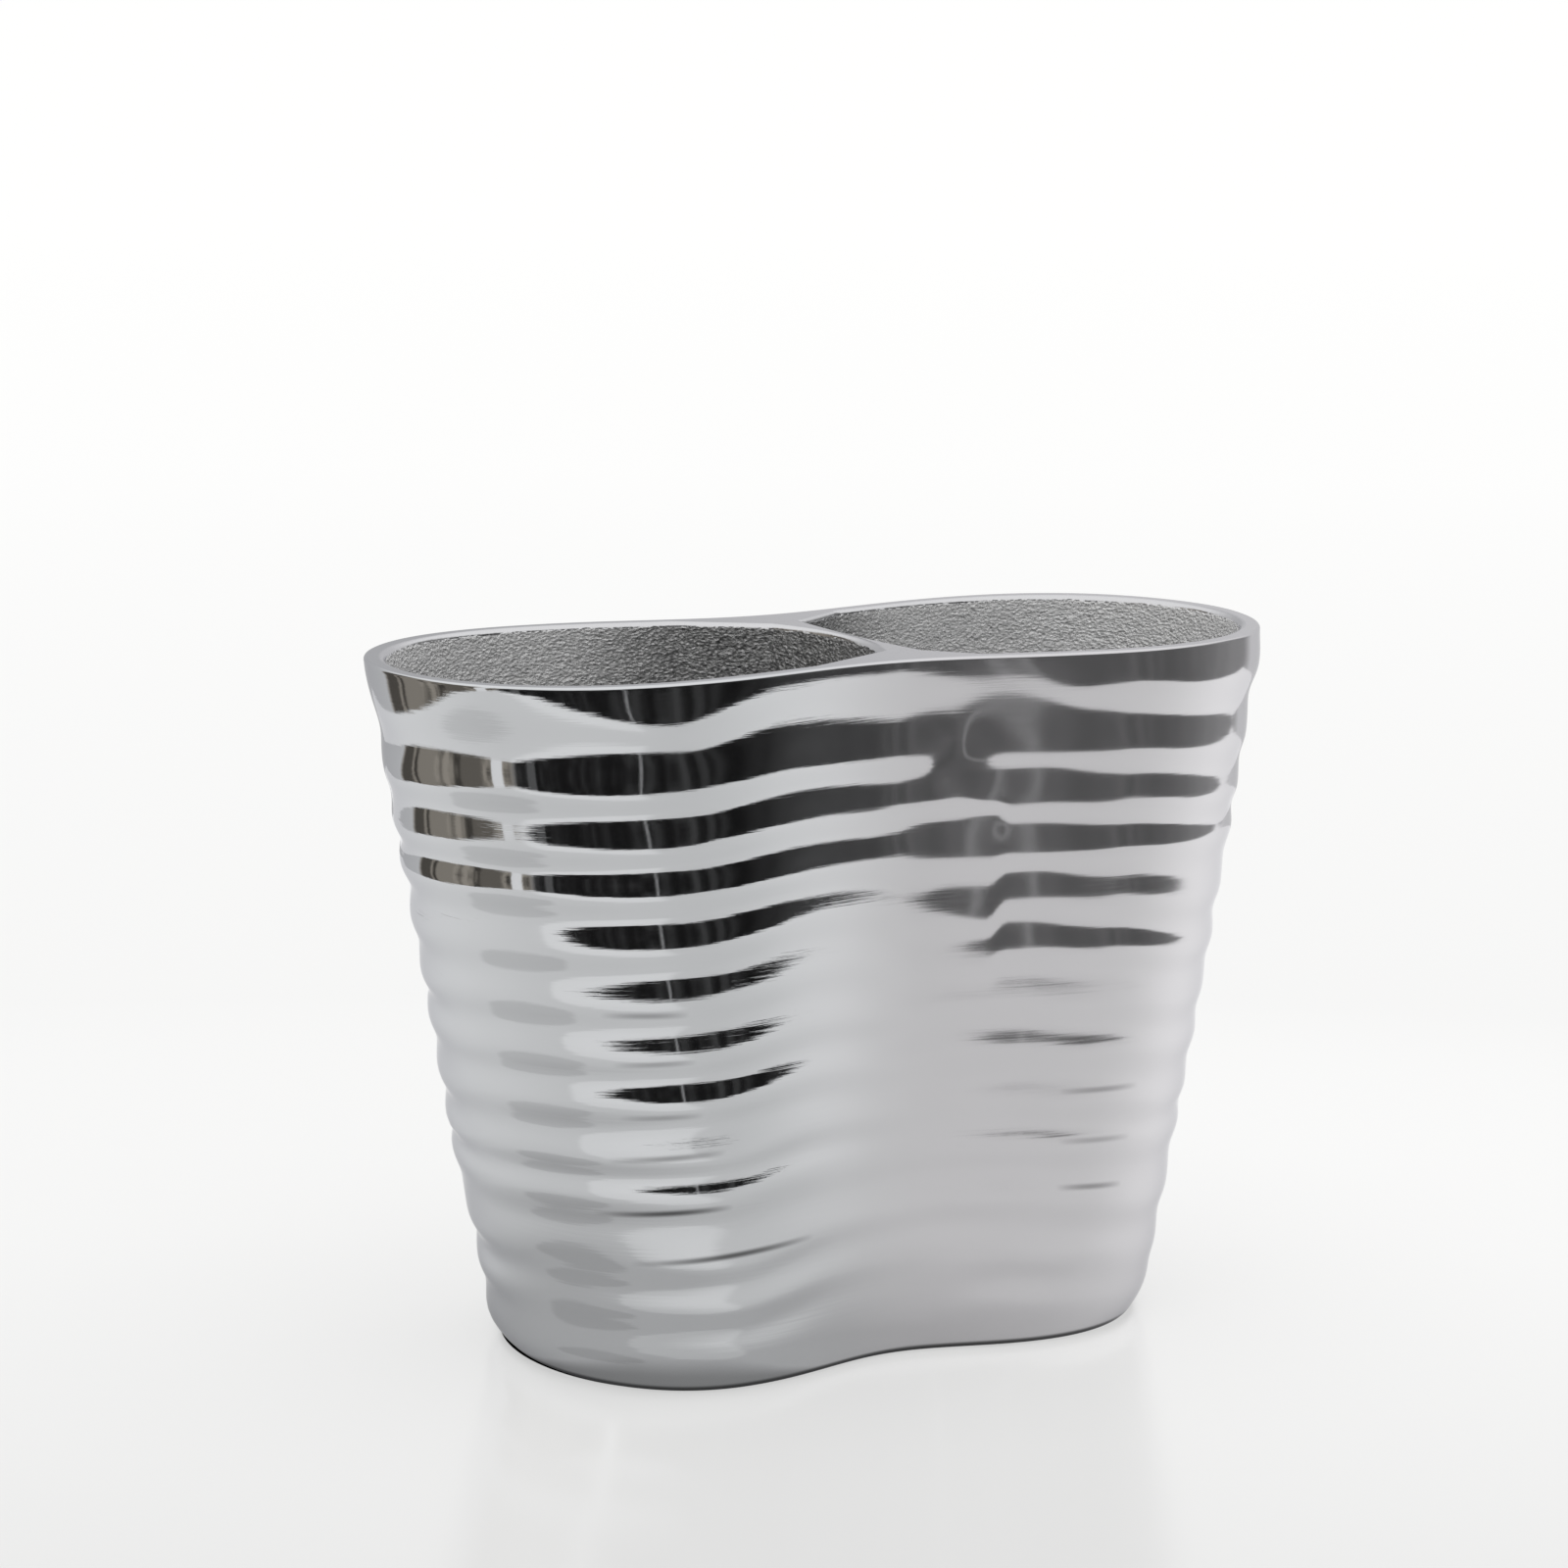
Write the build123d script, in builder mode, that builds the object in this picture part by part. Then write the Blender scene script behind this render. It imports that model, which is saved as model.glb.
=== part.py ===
from build123d import *
from math import cos, hypot, pi, radians, sin
import os

# Two-compartment wine and ice bucket in polished sand-cast aluminium.
# Millimetres, +Z up. The origin is on the table plane, under the middle of the base.
# +X runs along the length towards the ice compartment; the bottle stands on the -X side.

# ---- driving dimensions ----
HEIGHT = 178.0             # table to rim
RIM_HALF_LENGTH = 121.5    # the ends flare outwards, from the base ...
BASE_HALF_LENGTH = 88.0    # ... in a straight line to the rim
RIM_HALF_WAIST = 40.2      # half width at the pinched middle, at the rim
BASE_HALF_WAIST = 42.2
RIM_LOBE = (10.4, 15.0)    # how far the outline swells into two lobes: along X, along Y
BASE_LOBE = (8.4, 13.9)
WALL = 5.0
FLOOR = 5.0

# Hand-worked rings around the outside, crest heights from the top down.
RING_CRESTS = (168, 151, 138.5, 126.5, 112.5, 98.5, 86, 73.5, 60.5, 48, 35, 22)
RING_DEPTH = 0.9           # crest to trough

BASE_ROUND = 1.6           # the outer wall turns under by this much ...
BASE_ROUND_HEIGHT = 8.0    # ... over this height
RIM_ROUND_OUTSIDE = 1.5
RIM_ROUND_INSIDE = 0.8
FLOOR_FILLET = 6.0         # inside, between a compartment's wall and its floor

# The divider stands between two curved faces, a little askew to the length.
WINE_CORNER = (0.0, 24.4)  # where the divider meets the wine compartment's wall, at the rim
WINE_BULGE = 5.6           # the wine face bows this far towards the ice, at the rim
ICE_CORNER = (10.8, 27.5)
ICE_FACE = 9.3             # the ice face's middle, measured from the plan centre
DIVIDER_LEAN = 4.6         # the wine face's foot stands this much further towards -X
DIVIDER_SKEW = 0.1         # plan X gained for each mm towards -Y
LOBE_END = 106.0           # outline angle, in degrees, where a compartment leaves the outer wall
TONGUE = 2.0               # how deep the divider is let into the side walls
FOOT_TONGUE = 1.5          # ... and into the floor
SEAM = 1.0                 # the joint line runs this far outside the divider's faces

PAD_RADIUS = 6.0
PAD_THICKNESS = 1.2
PAD_PROUD = 0.5            # the pads lift the casting this far off the table
PAD_INSET = 10.0           # pad centre, inside the foot's outline
PAD_EDGE = 0.3
PADS = {                   # name and outline angle in degrees
    "foot_pad_ice_end": 0,
    "foot_pad_ice_back": 62,
    "foot_pad_wine_back": 118,
    "foot_pad_wine_end": 180,
    "foot_pad_wine_front": 242,
    "foot_pad_ice_front": 298,
}

OUTLINE_POINTS = 36
LOBE_POINTS = 15


# ---- plan outline ----
def outline_shape(z):
    """The four numbers of the figure-eight outline at a height."""
    up = (z - PAD_PROUD) / (HEIGHT - PAD_PROUD)
    half_length = BASE_HALF_LENGTH + (RIM_HALF_LENGTH - BASE_HALF_LENGTH) * up
    half_waist = BASE_HALF_WAIST + (RIM_HALF_WAIST - BASE_HALF_WAIST) * up
    lobe_x = BASE_LOBE[0] + (RIM_LOBE[0] - BASE_LOBE[0]) * up
    lobe_y = BASE_LOBE[1] + (RIM_LOBE[1] - BASE_LOBE[1]) * up
    return half_length - lobe_x, lobe_x, half_waist + lobe_y, lobe_y


def outline_point(z, angle, inset=0.0):
    """A point of the outline at a height, moved inwards along its normal."""
    x1, x3, y1, y3 = outline_shape(z)
    x = x1 * cos(angle) + x3 * cos(3 * angle)
    y = y1 * sin(angle) + y3 * sin(3 * angle)
    dx = -x1 * sin(angle) - 3 * x3 * sin(3 * angle)
    dy = y1 * cos(angle) + 3 * y3 * cos(3 * angle)
    size = hypot(dx, dy)
    return x - inset * dy / size, y + inset * dx / size


def outline_points(z, inset):
    """Points all round the outline."""
    return [outline_point(z, 2 * pi * i / OUTLINE_POINTS, inset) for i in range(OUTLINE_POINTS)]


def wall_stations():
    """(height, inset) of each section of the outer wall, from the foot to the rim."""
    crests = sorted(RING_CRESTS)
    stations = [(PAD_PROUD, BASE_ROUND)]
    for part_way in (0.3, 0.6, 1.0):
        rise = BASE_ROUND_HEIGHT * part_way
        stations.append((PAD_PROUD + rise, BASE_ROUND * (1 - part_way) ** 2))
    for lower, upper in zip(crests, crests[1:]):
        stations.append((lower, -RING_DEPTH / 2))
        stations.append(((lower + upper) / 2, RING_DEPTH / 2))
    stations.append((crests[-1], -RING_DEPTH / 2))
    for part_way in (1.0, 0.5, 0.0):
        stations.append((HEIGHT - RIM_ROUND_OUTSIDE * part_way, RIM_ROUND_OUTSIDE * (1 - part_way) ** 2))
    return stations


# ---- compartments ----
def divider_face(z, side, run_on=0.0, stand_off=0.0):
    """Back end, middle and front end of the divider's wine face (side -1) or ice face (side 1).

    run_on carries the curve on past its corners, and stand_off moves it clear of the metal.
    """
    corner_x, corner_y = WINE_CORNER if side < 0 else ICE_CORNER
    middle_x = WINE_BULGE if side < 0 else ICE_FACE
    lean = DIVIDER_LEAN * (1 - z / HEIGHT) if side < 0 else 0.0
    shift = side * stand_off - lean
    stretch = 1 + run_on / corner_y
    end_x = middle_x + (corner_x - middle_x) * stretch**2 + shift
    end_y = corner_y * stretch
    back = (end_x - DIVIDER_SKEW * end_y, end_y)
    front = (end_x + DIVIDER_SKEW * end_y, -end_y)
    return back, (middle_x + shift, 0), front


def lobe_points(z, side):
    """The inner face of the outer wall, from the back junction round the end to the front one."""
    first = radians(LOBE_END)
    angles = [first + (2 * pi - 2 * first) * i / (LOBE_POINTS - 1) for i in range(LOBE_POINTS)]
    points = [outline_point(z, angle, WALL) for angle in angles]
    return points if side < 0 else [(-x, y) for x, y in points]


def compartment_outline(z, side):
    """Lobe, two straight shoulders and the divider's face, as one closed line."""
    lobe = lobe_points(z, side)
    back, middle, front = divider_face(z, side)
    Spline(*lobe)
    Line(lobe[-1], front)
    ThreePointArc(front, middle, back)
    Line(back, lobe[0])


def slab_outline(z):
    """The stretch of metal that is the divider, with a tongue at each end."""
    wine_back, wine_middle, wine_front = divider_face(z, -1, TONGUE, SEAM)
    ice_back, ice_middle, ice_front = divider_face(z, 1, TONGUE, SEAM)
    ThreePointArc(wine_front, wine_middle, wine_back)
    Line(wine_back, ice_back)
    ThreePointArc(ice_back, ice_middle, ice_front)
    Line(ice_front, wine_front)


def hollow(side):
    """The space inside one compartment, from its floor to the rim."""
    with BuildPart() as core:
        for level in (FLOOR, HEIGHT):
            with BuildSketch(Plane.XY.offset(level)):
                with BuildLine():
                    compartment_outline(level, side)
                make_face()
        loft(ruled=True)
        floor_face = core.faces().sort_by(Axis.Z)[0]
        fillet(floor_face.edges(), FLOOR_FILLET)
    return core.part


# ---- the whole metalwork, before it is parted into body and divider ----
with BuildPart() as metalwork:
    for level, inset in wall_stations():
        with BuildSketch(Plane.XY.offset(level)):
            with BuildLine():
                Spline(*outline_points(level, inset), periodic=True)
            make_face()
    loft()
    add(hollow(side=-1), mode=Mode.SUBTRACT)
    add(hollow(side=1), mode=Mode.SUBTRACT)
    rim_face = metalwork.faces().sort_by(Axis.Z)[-1]
    fillet([edge for wire in rim_face.inner_wires() for edge in wire.edges()], RIM_ROUND_INSIDE)

# ---- divider: the curved wall between the compartments ----
with BuildPart() as divider_wall:
    for level in (FLOOR - FOOT_TONGUE, HEIGHT + 1):
        with BuildSketch(Plane.XY.offset(level)):
            with BuildLine():
                slab_outline(level)
            make_face()
    loft(ruled=True)
    add(metalwork.part, mode=Mode.INTERSECT)

# ---- bucket body: outer wall and floor, one casting, with seats for the divider and pads ----
pad_places = {name: outline_point(PAD_PROUD, radians(angle), PAD_INSET) for name, angle in PADS.items()}

with BuildPart() as bucket_body:
    add(metalwork.part)
    add(divider_wall.part, mode=Mode.SUBTRACT)
    with BuildSketch(Plane.XY.offset(PAD_PROUD)):
        with Locations(*pad_places.values()):
            Circle(PAD_RADIUS)
    extrude(amount=PAD_THICKNESS - PAD_PROUD, mode=Mode.SUBTRACT)

# ---- write the pieces ----
os.makedirs("parts", exist_ok=True)
bucket_body.part.label = "bucket_body"
export_step(bucket_body.part, "parts/bucket_body.step")
divider_wall.part.label = "divider_wall"
export_step(divider_wall.part, "parts/divider_wall.step")

for pad_name, (pad_x, pad_y) in pad_places.items():
    with BuildPart() as foot_pad:
        with BuildSketch(Plane.XY):
            with Locations((pad_x, pad_y)):
                Circle(PAD_RADIUS)
        extrude(amount=PAD_THICKNESS)
        fillet(foot_pad.edges().sort_by(Axis.Z)[0], PAD_EDGE)
    foot_pad.part.label = pad_name
    export_step(foot_pad.part, "parts/" + pad_name + ".step")
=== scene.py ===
"""Two-compartment wine and ice bucket in polished sand-cast aluminium, in a plain pale studio.

The visible casting and divider are dense meshes made from the same figure-eight outline as the CAD
part, with hand-worked rings outside and a rough sand-cast skin inside. The foot pads are the CAD's own.
Shape sizes are in millimetres and become metres when a mesh is made.
"""

import math

import bpy
import numpy as np
from mathutils import Matrix, Vector


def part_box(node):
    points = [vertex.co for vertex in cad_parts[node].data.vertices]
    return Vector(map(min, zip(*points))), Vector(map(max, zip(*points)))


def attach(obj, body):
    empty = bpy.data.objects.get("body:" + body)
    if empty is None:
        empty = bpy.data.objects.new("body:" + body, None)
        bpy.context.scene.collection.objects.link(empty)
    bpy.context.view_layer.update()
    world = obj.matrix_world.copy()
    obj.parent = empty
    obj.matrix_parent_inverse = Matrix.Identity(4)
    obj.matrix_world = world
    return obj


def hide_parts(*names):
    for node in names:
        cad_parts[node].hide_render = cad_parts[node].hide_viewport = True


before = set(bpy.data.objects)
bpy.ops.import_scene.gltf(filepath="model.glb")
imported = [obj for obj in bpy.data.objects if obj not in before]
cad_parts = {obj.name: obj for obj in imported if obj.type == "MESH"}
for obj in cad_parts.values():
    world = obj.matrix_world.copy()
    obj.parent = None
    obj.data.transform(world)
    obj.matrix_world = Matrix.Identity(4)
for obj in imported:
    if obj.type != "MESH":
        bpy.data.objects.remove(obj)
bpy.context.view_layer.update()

MM = 0.001

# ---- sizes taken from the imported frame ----
body_low, body_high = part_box("bucket_body")
HEIGHT = body_high.z / MM
BASE = body_low.z / MM

# ---- the outline's own sizes, as in the CAD part ----
RIM_HALF_LENGTH = 121.5
BASE_HALF_LENGTH = 88.0
RIM_HALF_WAIST = 40.2
BASE_HALF_WAIST = 42.2
RIM_LOBE = (10.4, 15.0)
BASE_LOBE = (8.4, 13.9)
WALL = 5.0
FLOOR = 5.0
FLOOR_FILLET = 6.0
BASE_ROUND = 1.6
BASE_ROUND_HEIGHT = 8.0
WINE_CORNER = (0.0, 24.4)
WINE_BULGE = 5.6
ICE_CORNER = (10.8, 27.5)
ICE_FACE = 9.3
DIVIDER_LEAN = 4.6
DIVIDER_SKEW = 0.1
LOBE_END = math.radians(106.0)

# ---- where the visible shape differs from the CAD part ----
RIM_ROUND_OUTSIDE = 1.0    # the rim's edge is crisper outside ...
RIM_ROUND_INSIDE = 1.7     # ... and rounder inside
FOOT_EXTRA = 0.4           # the outer wall turns under a little further at the very foot
ICE_BELLY = (0.9, 1.1, 92, 62)   # the ice end is fuller: by how much, how much more, at what height, reach
ICE_BELLY_FROM = (122, 156)      # degrees round from the wine end over which that sets in ...
ICE_BELLY_ABOVE = (0, 12)        # ... and heights over which it sets in
WINE_TUCK = 1.4                  # the wine end's foot is drawn in by this much ...
WINE_TUCK_BELOW = (50, 20)       # ... growing between these heights
WINE_TUCK_FROM = (48, 15)        # ... and between these degrees

# ---- rings, from the foot up: crest height, how much of the common wander the crest follows, and how
# strongly it stands out at each of the front's stations ----
RING_STATIONS = (18, 45, 90, 125)  # degrees round from the wine end
RINGS = (
    (-4.0, 0.6, 0.6, 0.6, 0.5, 0.6),
    (9.0, 0.6, 0.6, 0.6, 0.5, 0.6),
    (22.0, 0.7, 0.8, 0.8, 0.6, 0.8),
    (35.0, 0.8, 0.8, 1.0, 0.6, 1.2),
    (51.0, 0.8, 0.6, 1.0, 0.6, 0.9),
    (61.0, 0.9, 0.8, 0.7, 0.6, 0.85),
    (74.5, 0.9, 0.65, 1.4, 0.5, 0.95),
    (87.0, 1.0, 0.65, 0.85, 0.5, 0.55),
    (100.0, 1.0, 0.7, 0.8, 0.4, 1.3),
    (113.5, 1.0, 0.45, 1.3, 0.4, 0.68),
    (127.0, 0.4, 1.3, 1.3, 1.5, 1.2),
    (139.0, 0.8, 0.45, 0.68, 1.0, 0.8),
    (152.0, 0.8, 1.3, 1.3, 1.4, 1.0),
    (168.0, 0.0, 0.5, 0.7, 3.0, 2.1),
    (190.0, 1.0, 0.9, 0.9, 1.0, 1.0),
)
TOP_RING_GAP = 24.0        # from the ring under the rim up to the one that the rim cuts off
RING_SKEW = 0.09           # how much steeper a ring's underside is than its upper side

# Each pair below is degrees round from the wine end and millimetres there.
RING_DEPTHS = (
    (0, 0.95), (20, 0.78), (48, 0.60), (75, 0.30), (95, 0.24), (115, 0.30), (142, 0.52), (180, 0.95),
)
RING_WANDER = (
    (0, -1.5), (20, 0.0), (45, -0.4), (70, 3.4), (88, 2.4),
    (102, 3.6), (115, 3.4), (130, 1.5), (150, -2.0), (180, -2.0),
)
RIM_WANDER = (
    (0, 3.0), (22, 10.0), (48, 0.8), (66, 9.0), (108, 9.5), (124, 3.0), (145, 0.5), (180, 0.0),
)
RIM_TROUGH = (
    (0, 159), (22, 161), (48, 161.5), (66, 163.5), (88, 161.5),
    (108, 163), (124, 161.5), (145, 159), (180, 160),
)

# ---- a vertical hammer crease on the front, beside the waist ----
CREASE = 110.0             # degrees round from the wine end
CREASE_EDGE = 1.2          # it breaks off within this many degrees either side
CREASE_FROM = (82, 96)     # the rings begin to bend towards it between these degrees
CREASE_BENDS = ((112, 12, 5.0), (137, 5, -2.4))    # height, reach and how far the rings drop there
CREASE_FLAT = (101, 7, 0.85)                       # height, reach and how much of the rings is lost

# ---- a soft spot on the front, where two rings run together ----
SOFT_SPOT = (101.5, 151.5) # degrees and height
SOFT_REACH = (5.4, 7.0)    # degrees and height over which the rings fade
MERGE_REACH = 4.2          # degrees over which they join
MERGE_DEPTH = 0.90

# ---- the hammer's own unevenness; a wave's range of lengths, how many are summed, and their seed ----
HAND_RUN = 3.0             # the unevenness runs this many times longer along the wall than up it
UNEVEN_BELOW = (58, 30)    # the front is only uneven low down, between these heights
DRIFT = 1.3                # how far rings stray up and down
DRIFT_WAVES = ((20.0, 45.0), 8, 43)
SWELL = 0.4                # how much their depth varies
SWELL_WAVES = ((12.0, 26.0), 8, 41)
DENTS = 0.045
DENT_WAVES = ((9.0, 22.0), 12, 31)
DENTS_ABOVE = (0, 20)      # heights over which they set in
FRONT_EDGE = 0.1           # the front begins and ends this far either side of the ends, as a sine

# ---- sand-cast skin inside: depth, range of lengths, how many waves, seed ----
CAST_WAVES = (
    (0.09, (4.5, 9.0), 24, 53),
    (0.05, (14.0, 30.0), 8, 59),
)
CAST_FROM = (2.5, 7.0)     # the skin sets in between these depths below the rim

# ---- mesh density: columns round each stretch of the outline, rows up each stretch of the profile ----
LOBE_COLUMNS = 166
WINE_SHOULDER_COLUMNS = 16
SEAM_COLUMNS = 7
ICE_SHOULDER_COLUMNS = 11
FACE_COLUMNS = 40
FOOT_ROWS = 8
FOOT_CROWDING = 1.6        # rows crowd together towards the foot
OUTSIDE_ROWS = 128
INSIDE_ROWS = 74
ROUND_STEPS = 6
FLOOR_ROWS = 8
UNDERSIDE_SHARES = (0.55, 0.8, 0.93, 0.985)        # of the way out to the foot
TOP_SHARES = (0.06, 0.35, 0.65, 0.94)              # of the way in across the rim
FLOOR_SHRINK = (0.5, 0.7)  # how much shorter and narrower the last ring on the floor is
CAP_SHARES = (0.9, 0.99)   # of the divider's top, in X and Y, inside its outermost strip
OUTLINE_STEPS = 2000       # points used to measure along the outline
SHARP_EDGE = math.radians(20)

# ---- material slots of the two metal meshes ----
POLISHED, CAST, GROUND = 0, 1, 2


# ================================================================ outline
def outline(angle, z, inset=0.0):
    """Points of the figure-eight outline at a height, moved inwards along the normal."""
    up = (z - BASE) / (HEIGHT - BASE)
    half_length = BASE_HALF_LENGTH + (RIM_HALF_LENGTH - BASE_HALF_LENGTH) * up
    half_waist = BASE_HALF_WAIST + (RIM_HALF_WAIST - BASE_HALF_WAIST) * up
    x3 = BASE_LOBE[0] + (RIM_LOBE[0] - BASE_LOBE[0]) * up
    y3 = BASE_LOBE[1] + (RIM_LOBE[1] - BASE_LOBE[1]) * up
    x1 = half_length - x3
    y1 = half_waist + y3
    x = x1 * np.cos(angle) + x3 * np.cos(3 * angle)
    y = y1 * np.sin(angle) + y3 * np.sin(3 * angle)
    dx = -x1 * np.sin(angle) - 3 * x3 * np.sin(3 * angle)
    dy = y1 * np.cos(angle) + 3 * y3 * np.cos(3 * angle)
    size = np.hypot(dx, dy)
    return np.stack([x - inset * dy / size, y + inset * dx / size], axis=-1)


def even_angles(first, last, count):
    """Outline angles from first up to, but not including, last, evenly spaced along the outline."""
    dense = np.linspace(first, last, OUTLINE_STEPS)
    points = outline(dense, HEIGHT / 2)
    steps = np.hypot(*np.diff(points, axis=0).T)
    length = np.concatenate([[0.0], np.cumsum(steps)])
    return np.interp(length[-1] * np.arange(count) / count, length, dense)


WAIST_COLUMNS = WINE_SHOULDER_COLUMNS + SEAM_COLUMNS + ICE_SHOULDER_COLUMNS
angles = np.concatenate([
    even_angles(LOBE_END - math.pi, math.pi - LOBE_END, LOBE_COLUMNS),
    even_angles(math.pi - LOBE_END, LOBE_END, WAIST_COLUMNS),
    even_angles(LOBE_END, 2 * math.pi - LOBE_END, LOBE_COLUMNS),
    even_angles(2 * math.pi - LOBE_END, math.pi + LOBE_END, WAIST_COLUMNS),
])
COLUMNS = len(angles)
ice_lobe = slice(0, LOBE_COLUMNS)
back_waist = slice(LOBE_COLUMNS, LOBE_COLUMNS + WAIST_COLUMNS)
wine_lobe = slice(LOBE_COLUMNS + WAIST_COLUMNS, 2 * LOBE_COLUMNS + WAIST_COLUMNS)
front_waist = slice(2 * LOBE_COLUMNS + WAIST_COLUMNS, COLUMNS)


# ================================================================ divider and compartments in plan
def unit(vector):
    """A vector's direction, at length 1."""
    return vector / np.hypot(*vector)


def mitre(first_normal, second_normal):
    """How a corner moves when both of its sides move outwards by one."""
    return np.linalg.solve(np.array([first_normal, second_normal]), np.ones(2))


def divider_corner(z, side, end):
    """A corner between divider and side wall: side -1 wine or 1 ice, end 1 back or -1 front."""
    x, y = WINE_CORNER if side < 0 else ICE_CORNER
    lean = DIVIDER_LEAN * (1 - z / HEIGHT) if side < 0 else 0.0
    return np.array([x - lean - DIVIDER_SKEW * y * end, y * end])


def divider_middle(z, side):
    """The middle of the divider's wine face (side -1) or ice face (side 1)."""
    if side < 0:
        return np.array([WINE_BULGE - DIVIDER_LEAN * (1 - z / HEIGHT), 0.0])
    return np.array([ICE_FACE, 0.0])


def lobe_end(z, side, end, grow):
    """Where a compartment's wall leaves the outer wall's curve."""
    angle = LOBE_END if side < 0 else math.pi - LOBE_END
    return outline(np.array(angle * end), z, WALL - grow)


def circle_through(a, b, c):
    """Centre of the circle through three points."""
    rows = np.array([b - a, c - a])
    sums = 0.5 * np.array([b @ b - a @ a, c @ c - a @ a])
    return np.linalg.solve(rows, sums)


def grown_corner(z, side, end, grow):
    """A compartment corner, moved out into the metal by grow along both of its walls."""
    corner = divider_corner(z, side, end)
    along = unit(corner - lobe_end(z, side, end, 0.0))
    wall_normal = np.array([-along[1], along[0]]) * (end * -side)
    centre = circle_through(divider_corner(z, side, 1), divider_middle(z, side), divider_corner(z, side, -1))
    face_normal = unit(corner - centre)
    if face_normal[0] * side > 0:
        face_normal = -face_normal
    return corner + grow * mitre(wall_normal, face_normal)


def waist_path(z, end, grow):
    """The inside of one side wall, from the ice compartment to the wine compartment."""
    stops = [
        lobe_end(z, 1, end, grow),
        grown_corner(z, 1, end, grow),
        grown_corner(z, -1, end, grow),
        lobe_end(z, -1, end, grow),
    ]
    counts = (ICE_SHOULDER_COLUMNS, SEAM_COLUMNS, WINE_SHOULDER_COLUMNS)
    points = []
    for start, finish, count in zip(stops, stops[1:], counts):
        share = np.arange(count)[:, None] / count
        points.append(start + (finish - start) * share)
    return np.concatenate(points + [stops[-1][None]])


def inner_ring(z, grow):
    """The inside of the casting at a height, as if the divider were taken out."""
    ring = np.empty((COLUMNS, 2))
    for lobe in (ice_lobe, wine_lobe):
        ring[lobe] = outline(angles[lobe], z, WALL - grow)
    ring[back_waist] = waist_path(z, 1, grow)[:-1]
    ring[front_waist] = waist_path(z, -1, grow)[::-1][:-1]
    return ring


def arc(a, b, c, count):
    """Points from a through b to c along a circle, both ends included."""
    centre = circle_through(a, b, c)
    radius = np.hypot(*(a - centre))
    turns = np.unwrap([math.atan2(*(p - centre)[::-1]) for p in (a, b, c)])
    spread = np.linspace(turns[0], turns[2], count)
    return centre + radius * np.stack([np.cos(spread), np.sin(spread)], axis=-1)


def divider_ring(z, grow):
    """The divider at a height: wine face, front seam, ice face, back seam."""
    corner = {(side, end): grown_corner(z, side, end, grow) for side in (-1, 1) for end in (-1, 1)}
    shift = np.array([grow, 0.0])
    wine = arc(corner[-1, 1], divider_middle(z, -1) + shift, corner[-1, -1], FACE_COLUMNS)
    ice = arc(corner[1, -1], divider_middle(z, 1) - shift, corner[1, 1], FACE_COLUMNS)
    share = np.arange(1, SEAM_COLUMNS)[:, None] / SEAM_COLUMNS
    front = corner[-1, -1] + (corner[1, -1] - corner[-1, -1]) * share
    back = corner[1, 1] + (corner[-1, 1] - corner[1, 1]) * share
    return np.concatenate([wine, front, ice, back])


# ================================================================ surface relief
round_from_wine = np.degrees(np.arccos(-np.cos(angles)))   # 0 at the wine end, 180 at the ice end


def waves(points, lengths, count, seed):
    """Smooth repeatable noise near -1 to 1, a sum of plane waves with lengths in a range."""
    draw = np.random.default_rng(seed)
    total = np.zeros(points.shape[:-1])
    for _ in range(count):
        direction = draw.normal(size=points.shape[-1])
        direction /= np.linalg.norm(direction)
        turns = 2 * math.pi / draw.uniform(*lengths)
        total += np.sin(points @ direction * turns + draw.uniform(0, 2 * math.pi))
    return total / math.sqrt(count)


def smooth(low, high, value):
    """0 below low and 1 above high, eased in between; low may be the greater one."""
    share = np.clip((value - low) / (high - low), 0, 1)
    return share * share * (3 - 2 * share)


def hump(value, middle, width):
    """A smooth bump of height 1."""
    return np.exp(-(((value - middle) / width) ** 2))


def eased(value, stops):
    """Cosine-eased interpolation through (position, amount) pairs."""
    where, amounts = np.array(stops, float).T
    last = len(where) - 2
    cell = np.clip(np.searchsorted(where, value) - 1, 0, last)
    share = np.clip((value - where[cell]) / (where[cell + 1] - where[cell]), 0, 1)
    return amounts[cell] + (amounts[cell + 1] - amounts[cell]) * (1 - np.cos(math.pi * share)) / 2


def hand_space(z):
    """Where the columns are at a height, drawn together along the wall so that noise there runs long."""
    plan = outline(angles, z)
    return np.stack([plan[:, 0] / HAND_RUN, plan[:, 1] / HAND_RUN, np.full(COLUMNS, z)], axis=-1)


def ring_phase(z):
    """Which ring each column is on at a height: whole numbers on crests, halves in troughs."""
    lift = eased(round_from_wine, RING_WANDER)
    crests = [crest + wander * lift for crest, wander, *_ in RINGS]
    crests[-2] = crests[-2] + eased(round_from_wine, RIM_WANDER)
    crests[-1] = crests[-2] + TOP_RING_GAP
    troughs = [(lower + upper) / 2 for lower, upper in zip(crests, crests[1:])]
    troughs[-2] = eased(round_from_wine, RIM_TROUGH)
    phase = np.zeros(COLUMNS)
    for lower, trough, upper in zip(crests, troughs, crests[1:]):
        phase += np.clip((z - lower) / (trough - lower), 0, 1) / 2
        phase += np.clip((z - trough) / (upper - trough), 0, 1) / 2
    return phase


def front_strength(phase):
    """How strongly each column's ring stands out on the front, 1 being the common depth."""
    middles = np.arange(len(RINGS)) + 0.25
    levels = [np.interp(phase, middles, column) for column in list(zip(*RINGS))[2:]]
    strength = levels[0]
    for first, last, level in zip(RING_STATIONS, RING_STATIONS[1:], levels[1:]):
        strength = strength + (level - strength) * smooth(first, last, round_from_wine)
    return strength


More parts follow.
